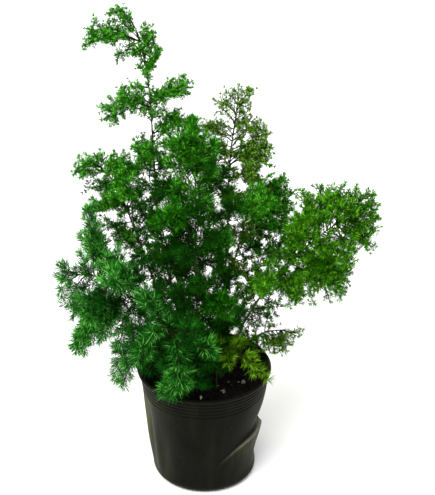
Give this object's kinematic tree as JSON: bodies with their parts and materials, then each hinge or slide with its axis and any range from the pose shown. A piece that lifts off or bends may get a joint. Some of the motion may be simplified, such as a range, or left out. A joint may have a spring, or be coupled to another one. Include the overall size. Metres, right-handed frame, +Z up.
{
  "type": "potted asparagus fern",
  "caption": "Bushy asparagus fern with fine needle-like foliage on arching woody canes, growing in a thin round tapered nursery pot filled with potting soil.",
  "frame": {"origin": "centre of the pot's flat underside, on the surface that the plant stands on", "axes": "+Z up out of the pot, -Y towards the front of the plant, +X towards the side with the long sunlit branch"},
  "size_m": [0.352, 0.2724, 0.5639],
  "materials": {
    "pot_plastic": "thin soft black film with a dull olive-grey sheen, dented and creased",
    "potting_soil": "damp, crumbly and near black, with fibres",
    "perlite": "chalky white grains, matt",
    "cane_bark": "thin brown-green woody stem, matt",
    "young_shoot": "soft light green stem, slightly waxy",
    "foliage": "fine mid to deep green needles in feathery tufts, slightly waxy",
    "sunlit_foliage": "fine yellow-green needles in feathery tufts, slightly waxy",
    "young_foliage": "fresh lime green needles in open stars, slightly waxy"
  },
  "bodies": {
    "root": {"cane_back_left": "cane_bark", "cane_back_right": "cane_bark", "cane_centre": "cane_bark", "cane_front": "cane_bark", "cane_left": "cane_bark", "cane_low_right": "cane_bark", "cane_right": "cane_bark", "cane_shoulder": "cane_bark", "cane_side": "cane_bark", "cane_tall": "cane_bark", "cane_young": "young_shoot", "perlite_grain_1": "perlite", "perlite_grain_2": "perlite", "perlite_grain_3": "perlite", "pot": "pot_plastic", "soil": "potting_soil", "spray_back_left_low": "foliage", "spray_back_left_top": "foliage", "spray_back_right_low": "foliage", "spray_back_right_top": "foliage", "spray_centre_crown": "foliage", "spray_centre_heart": "foliage", "spray_centre_low": "foliage", "spray_centre_pom": "foliage", "spray_centre_rear": "foliage", "spray_front_drape": "foliage", "spray_front_left": "foliage", "spray_front_mid": "foliage", "spray_front_right": "foliage", "spray_left_drop": "foliage", "spray_left_front": "foliage", "spray_left_hang": "foliage", "spray_left_low": "foliage", "spray_left_tip": "foliage", "spray_left_top": "foliage", "spray_low_right_tip": "foliage", "spray_right_crest": "foliage", "spray_right_flank": "foliage", "spray_right_front": "foliage", "spray_right_inner": "foliage", "spray_right_shoulder": "foliage", "spray_shoulder_back": "foliage", "spray_shoulder_front": "foliage", "spray_shoulder_low": "foliage", "spray_shoulder_tip": "foliage", "spray_side_front": "sunlit_foliage", "spray_side_heart": "sunlit_foliage", "spray_side_inner": "sunlit_foliage", "spray_side_low": "sunlit_foliage", "spray_side_tip": "sunlit_foliage", "spray_side_top": "sunlit_foliage", "spray_side_under": "sunlit_foliage", "spray_tall_arch": "foliage", "spray_tall_arm_left": "foliage", "spray_tall_arm_right": "foliage", "spray_tall_crest": "foliage", "spray_tall_flank": "foliage", "spray_tall_head": "foliage", "spray_tall_waist": "foliage", "spray_young_tip": "young_foliage"}
  },
  "joints": []
}
